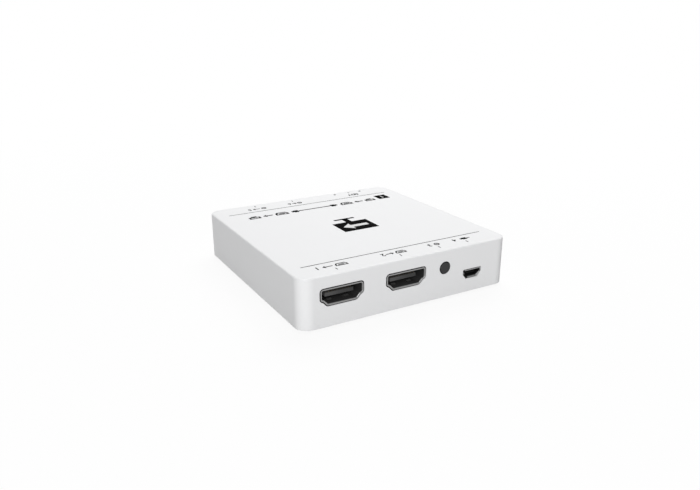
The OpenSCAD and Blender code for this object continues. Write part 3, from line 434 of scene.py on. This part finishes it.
printing = {
    "lift": 0.012,          # ink thickness, and the step between two layers
    "lineIn": 9.6,          # lines from the front and the rear edge
    "lineLength": 70.4,
    "lineWidth": 0.37,
    "tickLength": 1.4,
    "tickWidth": 0.34,
    "frontTickIn": 3.6,
    "rearTickIn": 2.7,
    "frontMarkIn": 6.4,
    "rearMarkIn": 6.2,
    "markHeight": 2.1,
    "markStroke": 0.49,
    "figureWeight": 0.025,  # how far a figure's outline is let out, in shares of the letter size
    "discCorners": 28,
    "ringCorners": 24,
}


def box(u, v, width, height):
    # rectangle about (u, v)
    corners = np.array([[-1, -1], [1, -1], [1, 1], [-1, 1]])
    return np.array([u, v]) + corners * np.array([width, height]) / 2


def disc(u, v, radius, corners=printing["discCorners"]):
    # corners on a circle about (u, v): radius times the cosine and the sine of even turns
    turn = np.linspace(0, 2 * np.pi, corners, endpoint=False)
    return np.array([u, v]) + radius * np.column_stack([np.cos(turn), np.sin(turn)])


def pen(points, width):
    # a drawn outline: each run is a quad whose ends are cut on the line that halves the bend,
    # half the width over the cosine of half the bend away from the corner point
    starts = np.asarray(points, float)
    ends = np.roll(starts, -1, axis=0)
    ways = (ends - starts) / np.linalg.norm(ends - starts, axis=1, keepdims=True)
    before = np.roll(ways, 1, axis=0)
    bend = before + ways
    across = np.column_stack([-bend[:, 1], bend[:, 0]])
    cuts = across / (1 + np.sum(before * ways, axis=1, keepdims=True)) * width / 2
    endCuts = np.roll(cuts, -1, axis=0)
    return list(np.stack([starts + cuts, starts - cuts, ends - endCuts, ends + endCuts], axis=1))


def moved(shapes, u, v):
    return [shape + np.array([u, v]) for shape in shapes]


def fromRear(shapes, x, y):
    # marks read from the rear side, so they are turned by half a turn before they are placed
    return [np.array([x, y]) - shape for shape in shapes]


# proportions of the marks, in shares of a mark's own width or height
marks = {
    "shoulder": 0.34,
    "tongueRise": 0.05,
    "tongueWidth": 0.55,
    "arrowHead": 0.5,
    "arrowSpread": 0.42,
    "screenHeight": 0.72,
    "neckHeight": 0.14,
    "footWidth": 0.5,
    "bodyWidth": 0.4,
    "bodyHeight": 0.8,
    "noseWidth": 0.2,
    "noseHeight": 0.5,
    "cableWidth": 0.3,
    "pinWidth": 0.9,        # this one in millimetres
    "pinHeight": 0.4,
}


def socketMark(width, height, stroke):
    # outline of a video socket, wide above with shoulders drawn in below, and its tongue
    w, h = width - stroke, height - stroke
    low = w * marks["shoulder"]
    outline = [[-w / 2, h / 2], [-w / 2, 0], [-low, -h / 2], [low, -h / 2], [w / 2, 0], [w / 2, h / 2]]
    tongueBar = box(0, h * marks["tongueRise"], w * marks["tongueWidth"], stroke)
    return pen(outline, stroke) + [tongueBar]


def arrowMark(length, height, stroke, way=1):
    # straight arrow that points to +u, or to -u where way is -1
    head = height * marks["arrowHead"]
    spread = height * marks["arrowSpread"]
    tip = length / 2 * way
    back = (length / 2 - head) * way
    shaft = box(-head / 2 * way, 0, length - head, stroke)
    return [shaft, np.array([[back, -spread], [tip, 0], [back, spread]])]


def ringMark(height, stroke, dot):
    # ring with a dot, whose radius is a share of the ring's
    ring = disc(0, 0, (height - stroke) / 2, printing["ringCorners"])
    return pen(ring, stroke) + [disc(0, 0, height / 2 * dot)]


def screenMark(width, height, stroke):
    # screen on a foot
    tall = height * marks["screenHeight"]
    neck = height * marks["neckHeight"]
    rise = (height - tall) / 2
    screen = moved(pen(box(0, 0, width - stroke, tall - stroke), stroke), 0, rise)
    foot = box(0, (stroke - height) / 2, width * marks["footWidth"], stroke)
    return screen + [box(0, rise - (tall + neck) / 2, stroke, neck), foot]


def plugMark(width, height, stroke):
    # cable plug seen from the side: body, nose and cable, each beside the next
    body, nose, cable = (width * marks[part + "Width"] for part in ("body", "nose", "cable"))
    return [box(0, 0, body, height * marks["bodyHeight"]),
            box((body + nose) / 2, 0, nose, height * marks["noseHeight"]),
            box(-(body + cable) / 2, 0, cable, stroke)]


def jackMark(width, height, stroke):
    # outline of a network jack with a plain block in it
    outline = pen(box(0, 0, width, height - stroke), stroke)
    return outline + [box(0, 0, marks["pinWidth"], height * marks["pinHeight"])]


def inkHeight(layer):
    return topHigh.z + printing["lift"] * layer * mm


def printedPiece(name, mesh, inkName):
    mesh.materials.clear()
    mesh.materials.append(inks[inkName])
    obj = bpy.data.objects.new(name, mesh)
    bpy.context.collection.objects.link(obj)
    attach(obj, "casing")


def facingUp(shape):
    # corners run the way that makes the signed area, half the sum of x * next y - y * next x, positive
    x, y = shape.T
    area = np.sum(x * np.roll(y, -1) - y * np.roll(x, -1)) / 2
    return shape if area > 0 else shape[::-1]


def flatPiece(name, shapes, inkName, layer=1):
    # each shape is an n x 2 array in millimetres and becomes one flat face
    corners = np.vstack([facingUp(shape) for shape in shapes])
    points = np.column_stack([corners * mm, np.full(len(corners), inkHeight(layer))])
    faces, start = [], 0
    for shape in shapes:
        faces.append(tuple(range(start, start + len(shape))))
        start += len(shape)
    mesh = bpy.data.meshes.new(name)
    mesh.from_pydata(points.tolist(), [], faces)
    printedPiece(name, mesh, inkName)


def figurePiece(name, text, x, y, height, inkName, layer=1):
    # plain figure that reads from the rear side, a mesh before its place is applied
    curve = bpy.data.curves.new(name, "FONT")
    curve.body = text
    curve.fill_mode = "FRONT"
    curve.offset = printing["figureWeight"]
    holder = bpy.data.objects.new(name + "Holder", curve)
    bpy.context.collection.objects.link(holder)
    bpy.context.view_layer.update()
    ready = holder.evaluated_get(bpy.context.evaluated_depsgraph_get())
    mesh = bpy.data.meshes.new_from_object(ready)
    bpy.data.objects.remove(holder)
    points = np.empty(len(mesh.vertices) * 3)
    mesh.vertices.foreach_get("co", points)
    points = points.reshape(-1, 3)
    low, high = points.min(0), points.max(0)
    scale = height * mm / (high[1] - low[1])
    points = np.array([x * mm, y * mm, 0]) - (points - (low + high) / 2) * scale
    points[:, 2] = inkHeight(layer)
    mesh.vertices.foreach_set("co", points.ravel())
    mesh.update()
    mesh.name = name
    printedPiece(name, mesh, inkName)


def middleX(node):
    low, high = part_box(node)
    return (low.x + high.x) / 2 / mm


lineShapes = [box(0, y, printing["lineLength"], printing["lineWidth"])
              for y in (frontEdge + printing["lineIn"], rearEdge - printing["lineIn"])]
flatPiece("printed_lines", lineShapes, "black")

markSize = (printing["markHeight"], printing["markStroke"])
frontPorts = [
    # node, how far its marks' middle is from the port, marks with their places, the figure's place
    ("video_out_shell", -0.25, [(-3.4, socketMark(4.4, *markSize)), (1.4, arrowMark(3.6, *markSize))], 5.0),
    ("video_in_shell", -0.6, [(-2.4, socketMark(4.0, *markSize)), (1.7, arrowMark(3.0, *markSize, -1))], 4.3),
    ("button_cap", -0.5, [(-1.5, ringMark(*markSize, dot=0.3))], 1.4),
    ("power_shell", -0.3, [(-1.4, plugMark(4.6, *markSize))], 2.9),
]
jackRing = ringMark(*markSize, dot=0.28)
rearPorts = [
    ("ir_out_sleeve", -0.3, [(-2.6, jackRing), (0.6, arrowMark(3.0, *markSize))], 3.3),
    ("ir_in_sleeve", -0.3, [(-1.9, jackRing), (0.3, arrowMark(2.2, *markSize, -1))], 2.5),
    ("network_jack_shield", 0.2, [(-0.9, jackMark(2.6, *markSize))], 1.8),
]
number = 0
for side, ports, edge, inwards in (("front", frontPorts, frontEdge, 1), ("rear", rearPorts, rearEdge, -1)):
    tickY = edge + inwards * printing[side + "TickIn"]
    markY = edge + inwards * printing[side + "MarkIn"]
    tickShapes, markShapes = [], []
    for node, shift, placed, figureAt in ports:
        number += 1
        x = middleX(node)
        tickShapes.append(box(x, tickY, printing["tickWidth"], printing["tickLength"]))
        for u, shapes in placed:
            markShapes += fromRear(moved(shapes, u, 0), x + shift, markY)
        figurePiece("printed_figure_%d" % number, str(number), x + shift - figureAt, markY,
                    printing["markHeight"], "black")
    flatPiece("printed_ticks_" + side, tickShapes, "black")
    flatPiece("printed_marks_" + side, markShapes, "black")

lamps = {"y": 38.0, "radius": 0.55, "places": [14.6, 26.8]}
flatPiece("printed_lamp_dots", [disc(x, lamps["y"], lamps["radius"]) for x in lamps["places"]], "grey")

# a row of marks that the signal runs along: screen, arrow, socket and plug at either end of a cable
band = {"y": 24.1, "from": -29.9, "to": 25.8, "height": 3.1, "stroke": 0.78, "gap": 1.1}
bandWidths = [(screenMark, 4.6), (arrowMark, 4.0), (socketMark, 5.4), (plugMark, 4.8)]
bandEnd = [(width, mark(width, band["height"], band["stroke"])) for mark, width in bandWidths]
plugWidth, plugShapes = bandEnd[-1]
sendingEnd = bandEnd[:-1] + [(plugWidth, [-shape for shape in plugShapes])]
endLength = sum(width for mark, width in bandWidths) + band["gap"] * (len(bandEnd) - 1)
halfBand = (band["to"] - band["from"]) / 2
halfCable = halfBand - endLength


def row(units, start):
    # units side by side from start on, with the band's gap between them
    shapes = []
    for width, unit in units:
        shapes += moved(unit, start + width / 2, 0)
        start += width + band["gap"]
    return shapes


cableLine = box(0, 0, halfCable * 2, band["stroke"])
bandShapes = row(sendingEnd, -halfBand) + [cableLine] + row(bandEnd[::-1], halfCable)
flatPiece("printed_band", fromRear(bandShapes, (band["from"] + band["to"]) / 2, band["y"]), "black")

badge = {"x": 30.3, "y": 25.4, "width": 5.2, "height": 5.3, "figure": 2.6}
flatPiece("printed_badge", [box(badge["x"], badge["y"], badge["width"], badge["height"])], "black")
figurePiece("printed_badge_figure", "1", badge["x"], badge["y"], badge["figure"], "white", layer=2)

# solid screen on its foot with a light arrow, a plain pictogram in the middle of the top
emblem = {
    "x": 0.9,
    "y": -0.8,
    "width": 14.2,
    "height": 14.4,
    "screenHeight": 10.0,
    "neckWidth": 2.4,
    "footWidth": 8.52,
    "footHeight": 1.2,
    "arrowLength": 10.2,
    "arrowHeight": 7.2,
    "arrowStroke": 2.2,
}
screenV = (emblem["height"] - emblem["screenHeight"]) / 2
footV = (emblem["footHeight"] - emblem["height"]) / 2
screenFoot = screenV - emblem["screenHeight"] / 2
emblemShapes = [
    box(0, screenV, emblem["width"], emblem["screenHeight"]),
    box(0, footV, emblem["footWidth"], emblem["footHeight"]),
    box(0, (footV + screenFoot) / 2, emblem["neckWidth"], screenFoot - footV),
]
emblemArrow = arrowMark(emblem["arrowLength"], emblem["arrowHeight"], emblem["arrowStroke"])
flatPiece("printed_emblem", fromRear(emblemShapes, emblem["x"], emblem["y"]), "black")
flatPiece("printed_emblem_arrow", fromRear(moved(emblemArrow, 0, screenV), emblem["x"], emblem["y"]), "white",
          layer=2)
print("printed marks made")

studio = {
    "floorSize": 60.0,      # metres
    "floorSeen": 0.95,      # floor colour for the camera's rays
    "floorLevel": 0.38,     # floor colour for every other ray
    "backdrop": 0.88,       # how much of the floor is plain white to the camera
    "fadeRadius": 0.35,     # from here on it is all white
    "worldLevel": 0.1,      # world light on the object, where the camera sees 1
    "keyTurn": -34.5,       # degrees from the port side, to the left where below zero
    "keyRise": 22.0,
    "keyDistance": 1.2,
    "keySize": 0.5,
    "keyPower": 11.9,
    "topPlace": (0.3, 0.36, 0.62),
    "topSize": 0.7,
    "topPower": 5.4,
    "aim": (0, 0, 0.01),
}


def lightPath(tree):
    # 1 for rays from the camera, for mirrored rays and for rays that passed through
    path = tree.nodes.new("ShaderNodeLightPath")
    names = ("Is Camera Ray", "Is Glossy Ray", "Is Transmission Ray")
    return [Value(tree, path.outputs[name]) for name in names]


def floorFinish():
    f = Finish("floorPale")
    seen, mirrored, passed = lightPath(f.tree)
    tone = f.blend(seen, grey(studio["floorLevel"]), grey(studio["floorSeen"]))
    plain = f.add("ShaderNodeBsdfDiffuse", {}, {"Color": tone})
    white = f.add("ShaderNodeEmission", {}, {"Color": grey(1.0), "Strength": 1.0})
    distance = f.add("ShaderNodeVectorMath", {"operation": "LENGTH"}, {0: f.place()}, out="Value")
    fade = (distance / studio["fadeRadius"]).capped()
    backdrop = fade * (1 - studio["backdrop"]) + studio["backdrop"]
    share = (seen * backdrop + mirrored + passed).capped()
    return f.surface(f.add("ShaderNodeMixShader", {}, {0: share, 1: plain, 2: white}))


floorMesh = bpy.data.meshes.new("studioFloor")
floorCorners = box(0, 0, studio["floorSize"], studio["floorSize"])
floorMesh.from_pydata([(x, y, 0) for x, y in floorCorners.tolist()], [], [(0, 1, 2, 3)])
floorMesh.materials.append(floorFinish())
floor = bpy.data.objects.new("studioFloor", floorMesh)
bpy.context.collection.objects.link(floor)

world = bpy.data.worlds.new("studioWorld")
bpy.context.scene.world = world
world.use_nodes = True
worldTree = world.node_tree
worldTree.nodes.clear()
worldSeen, worldMirrored, worldPassed = lightPath(worldTree)
plainSight = (worldSeen + worldMirrored + worldPassed).capped()
strength = plainSight * (1 - studio["worldLevel"]) + studio["worldLevel"]
background = worldTree.nodes.new("ShaderNodeBackground")
background.inputs["Color"].default_value = grey(1.0)
plug(worldTree, background.inputs["Strength"], strength)
output = worldTree.nodes.new("ShaderNodeOutputWorld")
worldTree.links.new(background.outputs[0], output.inputs["Surface"])


def areaLight(name, place, size, power):
    # square lamp turned so that it looks at the aim
    light = bpy.data.lights.new(name, "AREA")
    light.shape = "SQUARE"
    light.size = size
    light.energy = power
    obj = bpy.data.objects.new(name, light)
    bpy.context.collection.objects.link(obj)
    way = np.array(studio["aim"]) - np.array(place)
    way = way / np.linalg.norm(way)
    obj.location = place
    obj.rotation_euler = (math.acos(-way[2]), 0, math.atan2(way[0], -way[1]) + math.pi)


keyTurn, keyRise = math.radians(studio["keyTurn"]), math.radians(studio["keyRise"])
keyWay = np.array([math.sin(keyTurn) * math.cos(keyRise), -math.cos(keyTurn) * math.cos(keyRise),
                   math.sin(keyRise)])
areaLight("keyLight", keyWay * studio["keyDistance"], studio["keySize"], studio["keyPower"])
areaLight("topLight", studio["topPlace"], studio["topSize"], studio["topPower"])

camera = {
    "place": (-115.27 * mm, -200.29 * mm, 91.44 * mm),
    "azimuth": -0.523,      # radians, to the right where below zero
    "elevation": 0.342,     # radians down from level
    "lens": 33.78,
    "sensor": 36.0,
    "nearest": 0.01,
}
lens = bpy.data.cameras.new("photoCamera")
lens.lens = camera["lens"]
lens.sensor_width = camera["sensor"]
lens.sensor_fit = "HORIZONTAL"
lens.clip_start = camera["nearest"]
eye = bpy.data.objects.new("photoCamera", lens)
bpy.context.collection.objects.link(eye)
eye.location = camera["place"]
eye.rotation_euler = (math.pi / 2 - camera["elevation"], 0, camera["azimuth"])
bpy.context.scene.camera = eye
bpy.context.scene.view_settings.view_transform = "Standard"
print("studio set")
